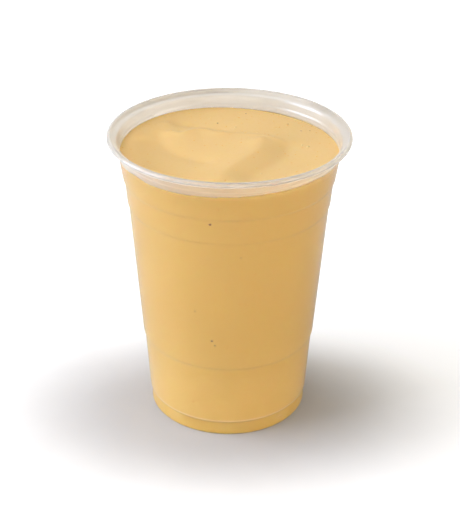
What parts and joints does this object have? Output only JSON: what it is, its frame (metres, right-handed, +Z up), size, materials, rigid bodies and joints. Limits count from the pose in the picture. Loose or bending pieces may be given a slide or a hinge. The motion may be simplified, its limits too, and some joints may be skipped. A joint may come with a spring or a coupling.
{
  "type": "mango smoothie in a clear plastic cup",
  "caption": "Clear tapered cold-drink cup with a rolled rim and stepped bands, filled with a thick mango smoothie whose top is softly swirled.",
  "frame": {"origin": "on the cup's axis, on the surface that its foot stands on", "axes": "+Z up along the cup's axis, -Y towards the front that the picture shows, +X to its right"},
  "size_m": [0.095, 0.095, 0.12],
  "materials": {
    "clear_plastic": "clear, slightly hazy formed sheet with a soft gloss",
    "mango_smoothie": "thick opaque fruit drink, warm yellow, soft sheen, with fine orange pulp and a few dark specks"
  },
  "bodies": {
    "root": {"cup": "clear_plastic", "smoothie": "mango_smoothie"}
  },
  "joints": []
}
